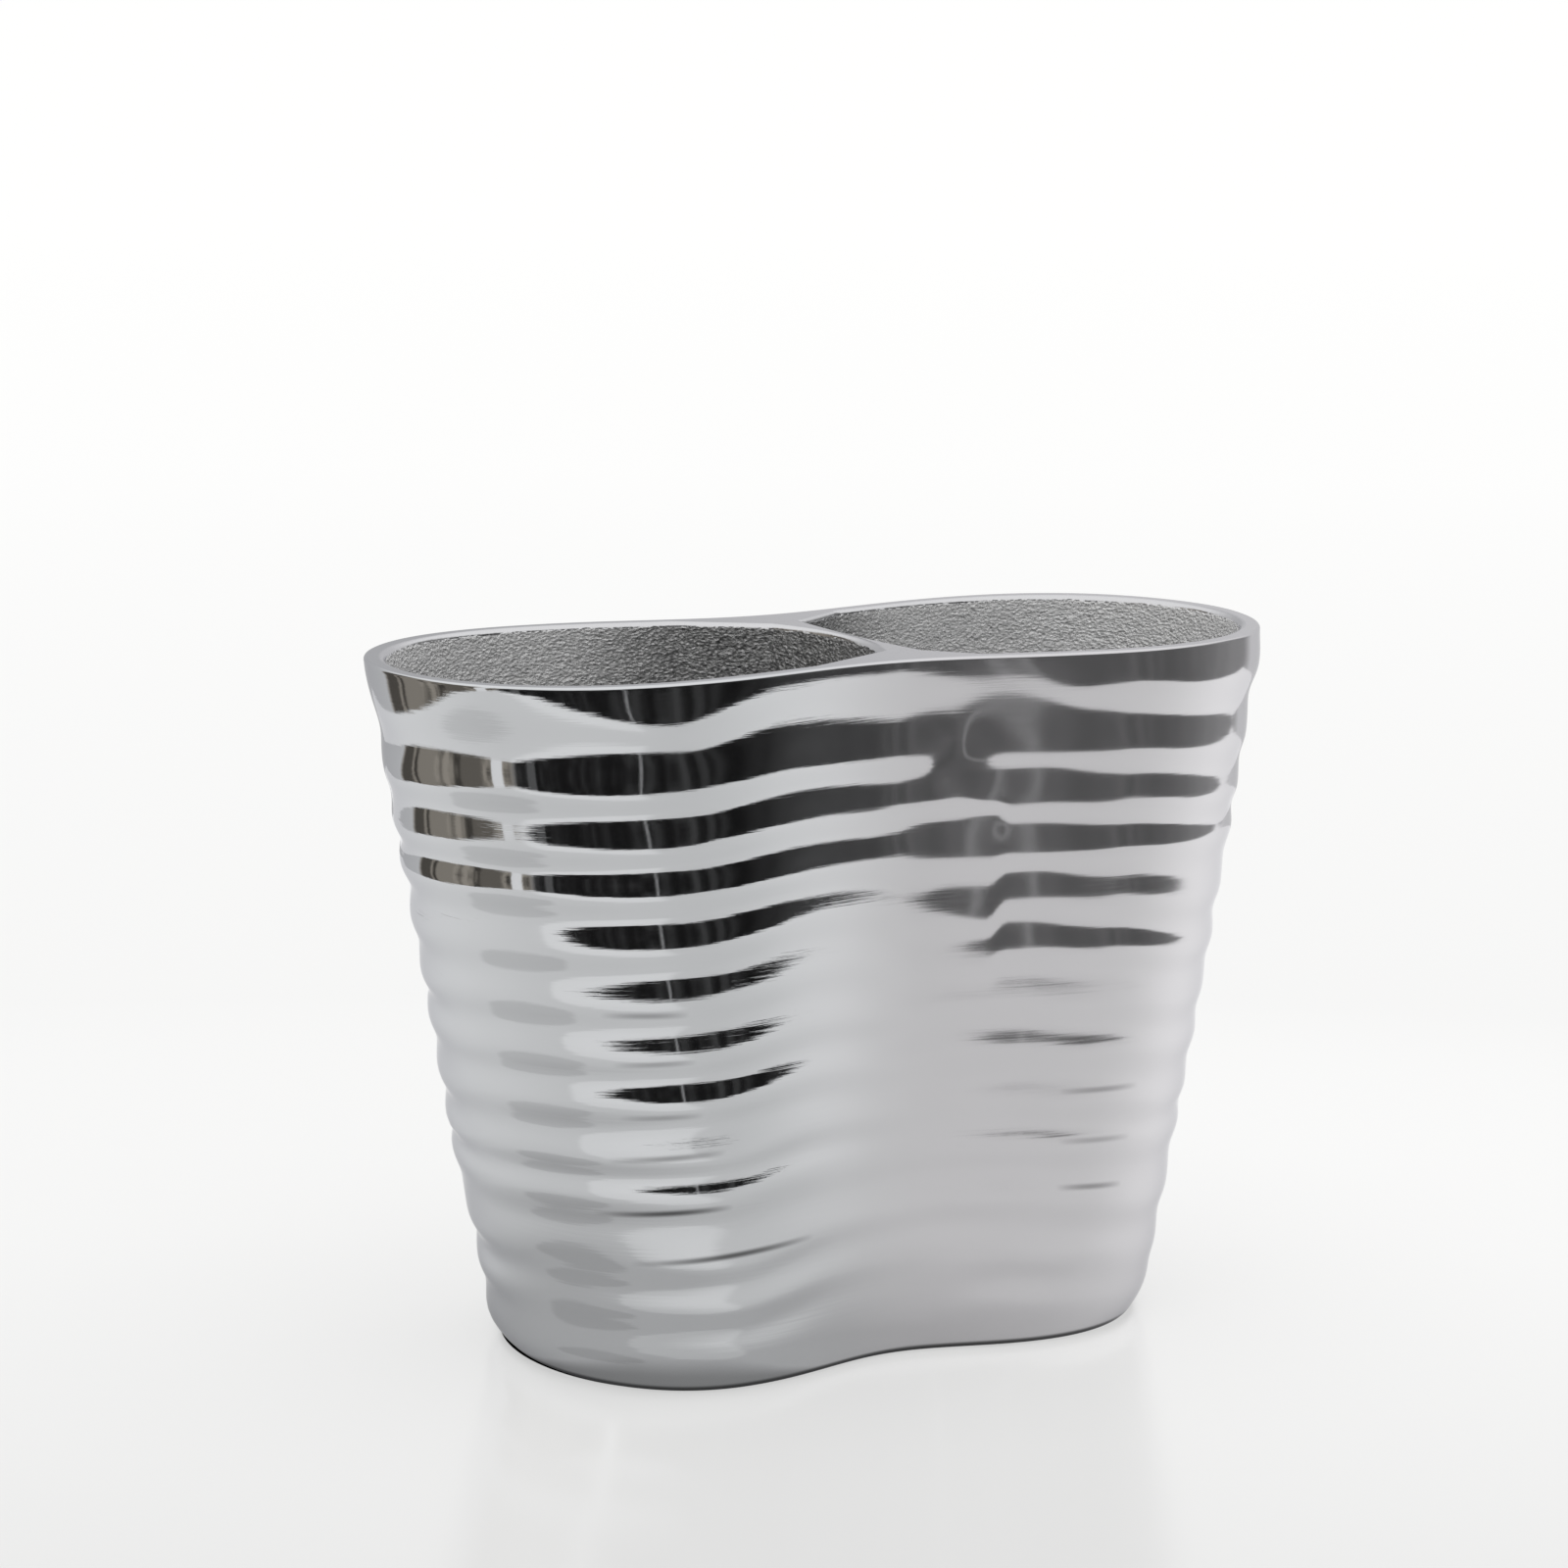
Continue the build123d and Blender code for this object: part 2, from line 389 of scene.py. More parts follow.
def outside_relief(z):
    """How far the wall stands out of the plain outline, for every column at a height."""
    place = round_from_wine
    front = smooth(-FRONT_EDGE, FRONT_EDGE, -np.sin(angles))
    beside = smooth(CREASE + CREASE_EDGE, CREASE - CREASE_EDGE, place) * smooth(*CREASE_FROM, place) * front
    uneven = np.maximum(1 - front, smooth(*UNEVEN_BELOW, z))

    moved = z + DRIFT * uneven * waves(hand_space(z), *DRIFT_WAVES)
    for height, reach, drop in CREASE_BENDS:
        moved = moved + drop * beside * hump(z, height, reach)
    phase = ring_phase(moved)

    flat_height, flat_reach, flat_share = CREASE_FLAT
    soft = hump(place, SOFT_SPOT[0], SOFT_REACH[0]) * hump(z, SOFT_SPOT[1], SOFT_REACH[1]) * front
    kept = (1 - flat_share * beside * hump(z, flat_height, flat_reach)) * (1 - soft)
    strength = 1 + (front_strength(phase) * kept - 1) * front
    strength = strength * (1 + SWELL * uneven * waves(hand_space(z), *SWELL_WAVES))

    depth = eased(place, RING_DEPTHS) * strength
    turn = 2 * math.pi * phase
    rings = 0.5 * depth * (np.cos(turn) - RING_SKEW * np.sin(2 * turn)) * (1 + RING_SKEW)
    dents = DENTS * waves(hand_space(z), *DENT_WAVES) * smooth(*DENTS_ABOVE, z)
    across = (z - SOFT_SPOT[1]) / SOFT_REACH[1]
    merge = -MERGE_DEPTH * across * np.exp(-(across**2)) * hump(place, SOFT_SPOT[0], MERGE_REACH) * front
    return rings + dents + merge + end_fullness(z)


def end_fullness(z):
    """How the two ends stray from a straight taper: a fuller ice end and a tucked-in wine foot."""
    everywhere, more, height, reach = ICE_BELLY
    belly = smooth(*ICE_BELLY_FROM, round_from_wine) * (everywhere + more * hump(z, height, reach))
    tuck = WINE_TUCK * smooth(*WINE_TUCK_BELOW, z) * smooth(*WINE_TUCK_FROM, round_from_wine)
    return belly * smooth(*ICE_BELLY_ABOVE, z) - tuck


def cast_relief(points):
    """The rough sand-cast skin, for points in three dimensions."""
    return sum(depth * waves(points, *settings) for depth, *settings in CAST_WAVES)


# ================================================================ meshes
def mesh_object(name, rings, cap_first, cap_last, materials, ring_slots):
    """A closed solid through stacked rings of equal length, with flat caps and smooth shading.

    ring_slots holds the material slot of each band between two rings.
    """
    count = len(rings[0])
    vertices = np.concatenate(rings) * MM
    column = np.arange(count)
    after = (column + 1) % count
    quads = []
    for row in range(len(rings) - 1):
        low = row * count
        high = low + count
        quads.append(np.stack([low + column, low + after, high + after, high + column], axis=-1))
    faces = np.concatenate(quads).tolist()
    slots = np.repeat(ring_slots, count).tolist()
    last = (len(rings) - 1) * count
    faces.append(column[::-1].tolist())
    faces.append((last + column).tolist())
    slots += [cap_first, cap_last]
    mesh = bpy.data.meshes.new(name)
    mesh.from_pydata(vertices.tolist(), [], faces)
    for material in materials:
        mesh.materials.append(material)
    mesh.polygons.foreach_set("material_index", slots)
    mesh.polygons.foreach_set("use_smooth", [True] * len(faces))
    mesh.update()
    mesh.set_sharp_from_angle(angle=SHARP_EDGE)
    made = bpy.data.objects.new(name, mesh)
    bpy.context.scene.collection.objects.link(made)
    return made


def at_height(plan, z):
    """Plan points as points in three dimensions."""
    return np.column_stack([plan, np.full(len(plan), z)])


def quarter_turns(first):
    """Angles of a quarter round, from its first step on."""
    return [math.pi / 2 * step / ROUND_STEPS for step in range(first, ROUND_STEPS + 1)]


def inside_profile():
    """(height, grow) from the top face's inner edge down to the compartment floor."""
    rows = []
    for turn in quarter_turns(0):
        drop = RIM_ROUND_INSIDE * (1 - math.cos(turn))
        rows.append((HEIGHT - drop, RIM_ROUND_INSIDE * (1 - math.sin(turn))))
    top = HEIGHT - RIM_ROUND_INSIDE
    bottom = FLOOR + FLOOR_FILLET
    for row in range(1, INSIDE_ROWS + 1):
        rows.append((top + (bottom - top) * row / INSIDE_ROWS, 0.0))
    for turn in quarter_turns(1):
        drop = FLOOR_FILLET * math.sin(turn)
        rows.append((bottom - drop, -FLOOR_FILLET * (1 - math.cos(turn))))
    return rows


def cast_skin(ring, z):
    """How far the cast relief moves each point of a ring, along its left-hand normal in plan."""
    tangent = np.roll(ring, -1, axis=0) - np.roll(ring, 1, axis=0)
    tangent /= np.hypot(*tangent.T)[:, None]
    normal = np.column_stack([-tangent[:, 1], tangent[:, 0]])
    below_rim = smooth(HEIGHT - CAST_FROM[0], HEIGHT - CAST_FROM[1], z)
    return normal * (cast_relief(at_height(ring, z)) * below_rim)[:, None]


def seam_fade(count, corners, reach=3):
    """0 at the corner columns, rising to 1 a few columns away."""
    column = np.arange(count)
    gap = np.full(count, count, float)
    for corner in corners:
        away = np.abs(column - corner)
        gap = np.minimum(gap, np.minimum(away, count - away))
    return np.clip(gap / reach, 0, 1)


def body_corner_columns():
    """The columns of the casting's inside that meet the divider."""
    back = LOBE_COLUMNS + ICE_SHOULDER_COLUMNS
    front = 2 * LOBE_COLUMNS + WAIST_COLUMNS + WINE_SHOULDER_COLUMNS
    return [corner + step for corner in (back, front) for step in range(SEAM_COLUMNS + 1)]


def underside_rings():
    """Flat rings under the base, from the middle out to the foot."""
    foot = outline(angles, BASE, BASE_ROUND + FOOT_EXTRA)
    return [at_height(foot * share, BASE) for share in UNDERSIDE_SHARES]


def outside_rings():
    """The outer wall, from the foot up and over its rounded edge onto the rim."""
    rings = []
    for step in range(FOOT_ROWS + 1):
        part_way = step / FOOT_ROWS
        rise = part_way**FOOT_CROWDING
        z = BASE + BASE_ROUND_HEIGHT * rise
        inset = BASE_ROUND * (1 - rise) ** 2 + FOOT_EXTRA * (1 - part_way) ** 4
        rings.append(at_height(outline(angles, z, inset - outside_relief(z)), z))
    low = BASE + BASE_ROUND_HEIGHT
    high = HEIGHT - RIM_ROUND_OUTSIDE
    for row in range(1, OUTSIDE_ROWS + 1):
        z = low + (high - low) * row / OUTSIDE_ROWS
        rings.append(at_height(outline(angles, z, -outside_relief(z)), z))
    relief = outside_relief(high)
    for turn in quarter_turns(1):
        inset = RIM_ROUND_OUTSIDE * (1 - math.cos(turn)) - relief
        z = high + RIM_ROUND_OUTSIDE * math.sin(turn)
        rings.append(at_height(outline(angles, z, inset), z))
    return rings


def rim_rings(outer_edge):
    """The flat rim, from the outer wall's edge to the inner one."""
    inner_edge = inner_ring(HEIGHT, RIM_ROUND_INSIDE)
    return [at_height(outer_edge + (inner_edge - outer_edge) * share, HEIGHT) for share in TOP_SHARES]


def inside_rings():
    """The cast inside, from the rim down to the toe of the fillet, then in across the floor."""
    rings = []
    fade = seam_fade(COLUMNS, body_corner_columns())
    for z, grow in inside_profile():
        ring = inner_ring(z, grow)
        rings.append(at_height(ring + cast_skin(ring, z) * fade[:, None], z))
    toe = rings[-1][:, :2]
    for row in range(1, FLOOR_ROWS + 1):
        share = row / FLOOR_ROWS
        rings.append(at_height(toe * [1 - shrink * share for shrink in FLOOR_SHRINK], FLOOR))
    return rings


def make_body(materials):
    """The casting: underside, ringed outer wall, rim, sand-cast inside and floor."""
    underside = underside_rings()
    outside = outside_rings()
    rim = rim_rings(outside[-1][:, :2])
    inside = inside_rings()
    rings = underside + outside + rim + inside
    slots = [GROUND] * len(underside) + [POLISHED] * (len(outside) + len(rim)) + [CAST] * len(inside)
    body = mesh_object("bucket_casting", rings, GROUND, CAST, materials, slots[:-1])
    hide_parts("bucket_body")
    return body


def make_divider(materials):
    """The curved wall between the compartments, flush with the rim, flaring into the floor."""
    ice_first = FACE_COLUMNS + SEAM_COLUMNS - 1
    corners = (0, FACE_COLUMNS - 1, ice_first - 1, ice_first + FACE_COLUMNS - 1)
    top = divider_ring(HEIGHT, RIM_ROUND_INSIDE)
    middle = top.mean(axis=0)
    rings = [at_height(middle + (top - middle) * CAP_SHARES, HEIGHT)]
    on_face = np.zeros(len(top))
    on_face[:FACE_COLUMNS] = 1
    on_face[ice_first:ice_first + FACE_COLUMNS] = 1
    fade = seam_fade(len(top), corners) * on_face
    for z, grow in inside_profile():
        ring = divider_ring(z, grow)
        rings.append(at_height(ring - cast_skin(ring, z) * fade[:, None], z))
    slots = [POLISHED] + [CAST] * (len(rings) - 2)
    divider = mesh_object("curved_divider", rings[::-1], CAST, POLISHED, materials, slots[::-1])
    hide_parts("divider_wall")
    return divider


# ================================================================ node trees
class Nodes:
    """A short way to write a node tree."""

    def __init__(self, owner):
        owner.use_nodes = True
        self.tree = owner.node_tree
        self.tree.nodes.clear()

    def add(self, kind, inputs=None, **settings):
        """A node with its inputs linked or set, by name or number."""
        made = self.tree.nodes.new(kind)
        for key, value in settings.items():
            setattr(made, key, value)
        for key, value in (inputs or {}).items():
            socket = made.inputs[key]
            if isinstance(value, bpy.types.NodeSocket):
                self.tree.links.new(value, socket)
            else:
                socket.default_value = value
        return made

    def maths(self, operation, first, second=0.0, third=0.0):
        return self.add("ShaderNodeMath", {0: first, 1: second, 2: third}, operation=operation).outputs[0]

    def times(self, first, second):
        return self.maths("MULTIPLY", first, second)

    def minus(self, first, second):
        return self.maths("SUBTRACT", first, second)

    def ramp(self, value, low, high, low_to=0.0, high_to=1.0, kind="SMOOTHSTEP"):
        """low_to below low and high_to above high, eased in between; low may be the greater one."""
        made = self.add(
            "ShaderNodeMapRange",
            {"Value": value, "From Min": low, "From Max": high, "To Min": low_to, "To Max": high_to},
            interpolation_type=kind,
        )
        return made.outputs["Result"]

    def ramp_mm(self, value, limits, low_to=0.0, high_to=1.0):
        """A ramp between two lengths given in millimetres."""
        return self.ramp(value, limits[0] * MM, limits[1] * MM, low_to, high_to)

    def mix(self, factor, first, second, blend_type="MIX"):
        """A mix of two colours."""
        inputs = {0: factor, 6: first, 7: second}
        return self.add("ShaderNodeMix", inputs, data_type="RGBA", blend_type=blend_type).outputs[2]

    def blend(self, factor, first, second):
        """A mix of two numbers."""
        made = self.add("ShaderNodeMix", {0: factor, 2: first, 3: second}, data_type="FLOAT")
        return made.outputs[0]

    def greys(self, value, span, stops, tint=(1.0, 1.0, 1.0)):
        """A grey that follows (value, level) stops, given up to a span of values."""
        made = self.add("ShaderNodeValToRGB", {"Fac": self.maths("DIVIDE", value, span)})
        points = made.color_ramp.elements
        for index, (place, level) in enumerate(stops):
            point = points[index] if index < 2 else points.new(place / span)
            point.position = place / span
            point.color = (level * tint[0], level * tint[1], level * tint[2], 1)
        return made.outputs["Color"]

    def noise(self, vector, scale, detail=3.0, rough=0.5):
        made = self.add(
            "ShaderNodeTexNoise", {"Vector": vector, "Scale": scale, "Detail": detail, "Roughness": rough}
        )
        return made.outputs["Fac"]

    def stretch(self, vector, scale, shift=(0.0, 0.0, 0.0)):
        made = self.add("ShaderNodeMapping", {"Vector": vector, "Scale": scale, "Location": shift})
        return made.outputs["Vector"]

    def bump(self, height, strength, distance, normal=None):
        inputs = {"Height": height, "Strength": strength, "Distance": distance}
        if normal is not None:
            inputs["Normal"] = normal
        return self.add("ShaderNodeBump", inputs).outputs["Normal"]

    def object_place(self):
        return self.add("ShaderNodeTexCoord").outputs["Object"]

    def axes(self, vector):
        return self.add("ShaderNodeSeparateXYZ", {"Vector": vector}).outputs

    def azimuth(self, x, y):
        """Degrees from straight in front (-Y), growing towards +X."""
        return self.maths("DEGREES", self.maths("ARCTAN2", x, self.times(y, -1.0)))

    def elevation(self, z):
        """Degrees up, from a unit vector's Z."""
        return self.maths("DEGREES", self.maths("ARCSINE", z))

    def in_mirror(self, path):
        """1 for a mirror reflection that no soft bounce came before."""
        return self.times(path["Is Glossy Ray"], self.maths("LESS_THAN", path["Diffuse Depth"], 0.5))


def grey(value):
    """A grey colour with full alpha."""
    return (value, value, value, 1.0)


# ================================================================ materials
EDGE_TINT = (0.74, 0.74, 0.76, 1.0)    # metal seen at a grazing angle


def metal_material(n, colour, roughness, normal, metallic=1.0):
    """The shader that all the metals share."""
    shader = n.add(
        "ShaderNodeBsdfPrincipled",
        {
            "Base Color": colour,
            "Metallic": metallic,
            "Roughness": roughness,
            "Specular Tint": EDGE_TINT,
            "Normal": normal,
        },
    )
    n.add("ShaderNodeOutputMaterial", {"Surface": shader.outputs[0]})


# Painted shade: dark lines under some rings on the front, standing in for the shaded table their steep
# undersides mirror: height, x from, x to, rise along the way, strength.
SHADE_LINES = (
    (97.6, -83, -62, -0.6, 0.5),
    (85.0, -80, -60, 0.2, 0.4),
    (71.6, -78, -58, 0.0, 0.4),
    (60.8, -80, -52, 1.0, 0.6),
    (46.8, -82, -50, 0.9, 1.0),
    (34.2, -74, -26, 2.2, 1.0),
    (66.0, 42, 66, -0.8, 0.5),
    (53.0, 42, 64, -1.0, 0.4),
    (41.0, 42, 62, -1.4, 0.6),
)
SHADE_LINE_EDGE = (1.2, 0.1)         # millimetres from the middle: where a line ends, and where it is darkest

# The polished wall: colours from cloud to clear, and numbers for the wine end and for the ice end.
COOL_METAL = ((0.655, 0.668, 0.685, 1), (0.695, 0.704, 0.722, 1))   # at the wine end
WARM_METAL = ((0.672, 0.665, 0.680, 1), (0.722, 0.712, 0.735, 1))   # at the ice end
POLISH_ROUGHNESS = (0.05, 0.095)
UNEVEN_POLISH = 0.04               # how much clouds and buffing marks change the roughness
POLISH_METALLIC = (0.995, 0.88)    # the rest is a pale haze over the mirror
END_HAZE = 0.1                     # more of that haze at the very end
BUFFING_STRENGTH = (0.2, 0.08)
BUFFING_DEPTH = 0.00012            # metres, as are the pits' depth and all bump depths below
PIT_DEPTH = 0.0002
PIT_SCALE = 75.0                   # cells per metre that may hold a pit
PIT_CHOSEN = 0.86                  # cells drawn above this hold one
PIT_RADIUS = (0.022, 0.012)        # its edge, in cells

# Places and heights on the polished wall, in millimetres.
HAZE_FROM = (-45, 20)              # the finish turns cloudier between these, towards the ice end
END_HAZE_FROM = (60, 110)          # ... and a little more at the very end
FOOT_SHADE_HEIGHT = (1.2, 2.2)          # painted shade in the foot's edge, standing in for the shaded table it mirrors: its least height, and how much clouds add
FOOT_SHADE_WEDGE = 9.0                  # it reaches this much higher in a wedge under the wine side's front ...
WEDGE_RISE = (-92, -70)            # ... which grows between these
WEDGE_FALL = (-20, -60)            # ... and fades out between these
WEDGE_DEPTH = (0, -20)             # the wedge is on the front only
CONTACT_SHADOW_LINE = (2.2, 1.2)             # the painted contact-shadow line at the very foot fades between these heights


def painted_shade_lines(n, axes):
    """Darkness of the painted shade lines, 0 to 1."""
    total = 0.0
    for height, first, last, rise, strength in SHADE_LINES:
        share = n.ramp(axes["X"], first * MM, last * MM, kind="LINEAR")
        middle = n.maths("MULTIPLY_ADD", share, rise * MM, height * MM)
        gap = n.maths("ABSOLUTE", n.minus(axes["Z"], middle))
        taper = n.times(n.times(share, n.minus(1.0, share)), 4.0)
        line = n.times(n.ramp_mm(gap, SHADE_LINE_EDGE), n.times(taper, strength))
        total = n.maths("MAXIMUM", total, line)
    return n.times(total, n.maths("LESS_THAN", axes["Y"], 0.0))


def wall_pits(n, place):
    """A few pinhole pits, 1 inside a pit."""
    cells = n.add("ShaderNodeTexVoronoi", {"Vector": place, "Scale": PIT_SCALE})
    pick = n.add("ShaderNodeSeparateColor", {"Color": cells.outputs["Color"]}).outputs[0]
    chosen = n.maths("GREATER_THAN", pick, PIT_CHOSEN)
    return n.times(n.ramp(cells.outputs["Distance"], *PIT_RADIUS), chosen)


def foot_painted_shade(n, axes, clouds):
    """Painted shade along the foot, standing in for the shaded table it mirrors: how much, and how much of
    the painted contact-shadow line at the very edge.
    """
    wedge = n.times(n.ramp_mm(axes["X"], WEDGE_RISE), n.ramp_mm(axes["X"], WEDGE_FALL))
    wedge = n.times(wedge, n.ramp_mm(axes["Y"], WEDGE_DEPTH))
    least, cloudy = FOOT_SHADE_HEIGHT
    top = n.maths("MULTIPLY_ADD", clouds, cloudy * MM, least * MM)
    top = n.maths("MULTIPLY_ADD", wedge, FOOT_SHADE_WEDGE * MM, top)
    foot_shade = n.ramp(axes["Z"], top, n.times(top, 0.35))
    return foot_shade, n.ramp_mm(axes["Z"], CONTACT_SHADOW_LINE)


def polished_aluminium():
    """Mirror-polished outside: horizontal buffing marks, cloudier towards the ice end, a few pits, and
    painted shade in dark lines under rings and along the foot.
    """
    material = bpy.data.materials.new("polished_aluminium")
    n = Nodes(material)
    place = n.object_place()
    axes = n.axes(place)
    buffing = n.noise(n.stretch(place, (26, 26, 1100)), 1.0, 4.0, 0.6)
    clouds = n.noise(place, 22.0, 3.0)
    fine = n.noise(place, 1500.0, 2.0)
    towards_ice = n.ramp_mm(axes["X"], HAZE_FROM)
    roughness = n.blend(towards_ice, *POLISH_ROUGHNESS)
    for marks in (clouds, buffing):
        roughness = n.maths("MULTIPLY_ADD", marks, UNEVEN_POLISH, n.minus(roughness, UNEVEN_POLISH / 2))
    pit = wall_pits(n, place)
    foot_shade, contact_shadow = foot_painted_shade(n, axes, clouds)
    colour = n.mix(towards_ice, n.mix(clouds, *COOL_METAL), n.mix(clouds, *WARM_METAL))
    # painted shade: dark lines under some rings
    colour = n.mix(n.times(painted_shade_lines(n, axes), 0.85), colour, grey(0.05))
    colour = n.mix(pit, colour, grey(0.06))
    # painted shade along the foot, then the painted contact-shadow line at its very edge
    colour = n.mix(n.times(foot_shade, 0.5), colour, grey(0.10))
    colour = n.mix(n.times(contact_shadow, 0.85), colour, grey(0.03))
    height = n.maths("MULTIPLY_ADD", buffing, 0.8, n.times(fine, 0.1))
    buffed = n.bump(height, n.blend(towards_ice, *BUFFING_STRENGTH), BUFFING_DEPTH)
    normal = n.bump(n.minus(1.0, pit), 0.6, PIT_DEPTH, buffed)
    metallic = n.blend(towards_ice, *POLISH_METALLIC)
    metallic = n.minus(metallic, n.ramp_mm(axes["X"], END_HAZE_FROM, 0.0, END_HAZE))
    metal_material(n, colour, roughness, normal, metallic)
    return material


LIP_METAL = (0.69, 0.69, 0.705, 1)
LIP_DEPTH = (0.9, 0.4)             # the cast skin is polished away between these depths below the rim
FRESH_METAL = (0.76, 1.0)          # how light the grains are, from dark ones to sparkling ones
# painted shade: darker grains about the divider
DIVIDER_SHADE_METAL = (0.20, 0.60)
CAST_METALLIC = (0.48, 0.85)       # fresh skin, skin in the painted shade by the divider
DIVIDER_SHADE_FROM_WINE = (-62, -12)        # painted shade: the skin is darker about the divider, setting in from each side
DIVIDER_SHADE_FROM_ICE = (45, 12)


def cast_aluminium():
    """Raw sand-cast skin with sharp sparkling grains, painted shade about the divider, ground smooth at the
    rim.
    """
    material = bpy.data.materials.new("cast_aluminium")
    n = Nodes(material)
    place = n.object_place()
    axes = n.axes(place)
    grains = n.add("ShaderNodeTexVoronoi", {"Vector": n.stretch(place, (1, 1, 1.4)), "Scale": 900.0})
    grit = n.noise(n.stretch(place, (1, 1, 1.6)), 900.0, 4.0, 0.6)
    coarse = n.noise(place, 260.0, 3.0)
    clouds = n.noise(place, 30.0, 2.0)
    ragged = n.maths("MULTIPLY_ADD", n.noise(place, 160.0, 3.0), 0.0012, axes["Z"])
    lip = n.ramp_mm(ragged, (HEIGHT - LIP_DEPTH[0], HEIGHT - LIP_DEPTH[1]))
    height = n.maths("MULTIPLY_ADD", grains.outputs["Distance"], 0.6, n.times(grit, 0.9))
    height = n.maths("MULTIPLY_ADD", coarse, 0.9, height)
    height = n.times(n.minus(height, 1.2), n.maths("MULTIPLY_ADD", lip, -0.97, 1.0))
    divider_shade = n.times(n.ramp_mm(axes["X"], DIVIDER_SHADE_FROM_WINE), n.ramp_mm(axes["X"], DIVIDER_SHADE_FROM_ICE))
    grains_of_light = n.ramp(grit, 0.35, 0.65)
    fresh = n.mix(grains_of_light, *map(grey, FRESH_METAL))
    shaded_grains = n.mix(grains_of_light, *map(grey, DIVIDER_SHADE_METAL))
    colour = n.mix(n.times(clouds, 0.5), fresh, grey(0.80))
    # painted shade about the divider
    colour = n.mix(divider_shade, colour, shaded_grains)
    colour = n.mix(lip, colour, LIP_METAL)
    roughness = n.blend(lip, n.ramp(grit, 0.3, 0.7, 0.48, 0.22), 0.14)
    metallic = n.blend(lip, n.blend(divider_shade, *CAST_METALLIC), 0.97)
    metal_material(n, colour, roughness, n.bump(height, 0.9, 0.001), metallic)
    return material


def ground_aluminium():
    """The underside, ground flat on a belt: straight grinding lines."""
    material = bpy.data.materials.new("ground_aluminium")
    n = Nodes(material)
    place = n.object_place()
    lines = n.noise(n.stretch(place, (9, 1600, 9)), 1.0, 4.0, 0.6)
    clouds = n.noise(place, 25.0, 3.0)
    colour = n.mix(lines, grey(0.48), grey(0.62))
    roughness = n.blend(clouds, 0.28, 0.42)
    metal_material(n, colour, roughness, n.bump(lines, 0.25, 0.0002))
    return material


def pad_rubber():
    """Matt black rubber with a fine moulded grain."""
    material = bpy.data.materials.new("pad_rubber")
    n = Nodes(material)
    place = n.object_place()
    grain = n.noise(place, 1500.0, 3.0)
    dust = n.noise(place, 180.0, 4.0)
    shader = n.add(
        "ShaderNodeBsdfPrincipled",
        {
            "Base Color": n.mix(dust, grey(0.018), grey(0.045)),
            "Roughness": n.ramp(dust, 0.3, 0.7, 0.62, 0.8),
            "Normal": n.bump(grain, 0.3, 0.0001),
        },
    )
    n.add("ShaderNodeOutputMaterial", {"Surface": shader.outputs[0]})
    return material


# ================================================================ camera
VIEW_AZIMUTH = math.radians(-28.13)
VIEW_ELEVATION = math.radians(13.35)
VIEW_DISTANCE = 6.304 * HEIGHT * MM
VIEW_PAN = 0.0090
VIEW_TILT = 0.0446
VIEW_ROLL = 0.0128
LENS = 100.0
SENSOR_WIDTH = 36.0
CLIP_START = 0.01


def make_camera():
    """The camera at the studio's viewing angle, a little off the bucket's middle."""
    middle = Vector((0, 0, HEIGHT * MM / 2))
    level = math.cos(VIEW_ELEVATION)
    back = Vector((math.sin(VIEW_AZIMUTH) * level, -math.cos(VIEW_AZIMUTH) * level, math.sin(VIEW_ELEVATION)))
    forward = -back
    right = forward.cross(Vector((0, 0, 1))).normalized()
    up = right.cross(forward)
    pan = Matrix.Rotation(VIEW_PAN, 3, up)
    forward, right = pan @ forward, pan @ right
    tilt = Matrix.Rotation(VIEW_TILT, 3, right)
    forward, up = tilt @ forward, tilt @ up
    cos_roll, sin_roll = math.cos(VIEW_ROLL), math.sin(VIEW_ROLL)
    side = right * cos_roll + up * sin_roll
    top = up * cos_roll - right * sin_roll
    data = bpy.data.cameras.new("camera")
    data.lens = LENS
    data.sensor_width = SENSOR_WIDTH
    data.clip_start = CLIP_START
    camera = bpy.data.objects.new("camera", data)
    turn = Matrix((
        (side.x, top.x, -forward.x),
        (side.y, top.y, -forward.y),
        (side.z, top.z, -forward.z),
    ))
    camera.matrix_world = Matrix.Translation(middle + back * VIEW_DISTANCE) @ turn.to_4x4()
    bpy.context.scene.collection.objects.link(camera)
    bpy.context.scene.camera = camera


# ================================================================ studio light
TABLE_GLOW = 0.55          # share of the table's light that comes from below, through it
AMBIENT = 0.75             # share of the table's light that comes evenly from all around
SUN_FROM = (0.0, -0.1, 1.0)
SUN_SPREAD = 60.0          # degrees

# What the metal mirrors, in degrees: azimuth from straight in front, growing towards +X, and elevation.
DARK_SIDE = ((-66, -60), (112, 96))        # the room behind the camera, its left and right edges
BROWN_SIDE = ((-156, -150), (-60, -66))    # the brownish room on the left
ROOM_TOP = (46, 30)                        # both give way to white between these elevations
ROOM_RANGE = (0.006, 0.04)                 # how light the dark room is, in its folds and on them
BROWN_RANGE = (0.05, 0.30)
RIGHT_LIGHT = (40, 95, 0.17)               # light that reaches the dark room's right side
LOW_BACK = ((30, 22), (0.74, 0.62))        # low down behind: degrees from straight behind, and levels
HIGH_BACK = ((40, 16), 0.98)               # that gives way to this white between these elevations

# Upright strips in those rooms: azimuth, half width, level.
DARK_STRIPS = ((5.5, 0.5, 0.4), (24.0, 1.6, 0.05), (30.5, 1.8, 0.04), (-52.0, 3.0, 0.10))
BROWN_STRIPS = ((-73.0, 4.2, 0.85), (-91.0, 9.0, 0.12), (-127.0, 9.0, 0.24), (-147.0, 8.0, 0.08))


def sector(n, azimuth, edges):
    """1 between two eased edges."""
    return n.times(n.ramp(azimuth, *edges[0]), n.ramp(azimuth, *edges[1]))


